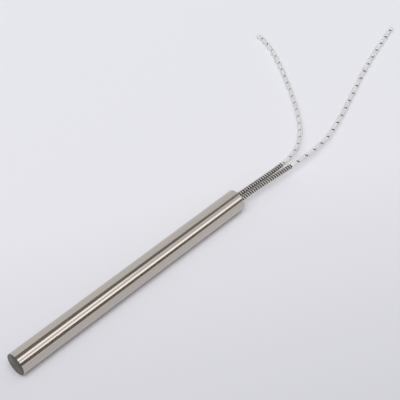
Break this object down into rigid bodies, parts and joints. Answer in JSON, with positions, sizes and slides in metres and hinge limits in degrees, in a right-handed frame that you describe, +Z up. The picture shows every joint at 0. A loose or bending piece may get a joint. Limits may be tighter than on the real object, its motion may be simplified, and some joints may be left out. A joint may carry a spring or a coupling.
{
  "type": "cartridge heater",
  "caption": "Slim round stainless cartridge heater with a closed flat end, and spring-guarded braided leads that leave its other end, for heating a bored block, die or platen.",
  "frame": {"origin": "on the resting plane, under the middle of the sheath", "axes": "+X along the sheath towards the leads, +Z up, the leads lying to the +Y side"},
  "size_m": [0.2686, 0.078, 0.01],
  "materials": {
    "stainless": "ground and polished stainless steel",
    "end_steel": "turned stainless steel, a little darker",
    "ceramic": "unglazed",
    "oxide_fill": "packed powder",
    "cement": "cast cement, matt",
    "resistance_wire": "oxidised drawn wire",
    "nickel": "drawn nickel",
    "spring_steel": "flat rolled spring wire",
    "glass_sleeve": "varnished glass sleeve",
    "glass_braid": "white glass-fibre braid with a dark tracer yarn"
  },
  "bodies": {
    "root": {"sheath": "stainless", "end_disc": "end_steel", "bottom_spacer": "ceramic", "core_1": "ceramic", "core_2": "ceramic", "core_3": "ceramic", "core_4": "ceramic", "core_5": "ceramic", "top_spacer": "ceramic", "heating_coil": "resistance_wire", "fill": "oxide_fill", "bushing": "ceramic", "end_seal": "cement", "pin_right": "nickel", "pin_left": "nickel", "crimp_right": "nickel", "crimp_left": "nickel", "conductor_right": "nickel", "conductor_left": "nickel", "insulation_right": "glass_sleeve", "insulation_left": "glass_sleeve", "spring_right": "spring_steel", "spring_left": "spring_steel", "braid_right": "glass_braid", "braid_left": "glass_braid"}
  },
  "joints": []
}
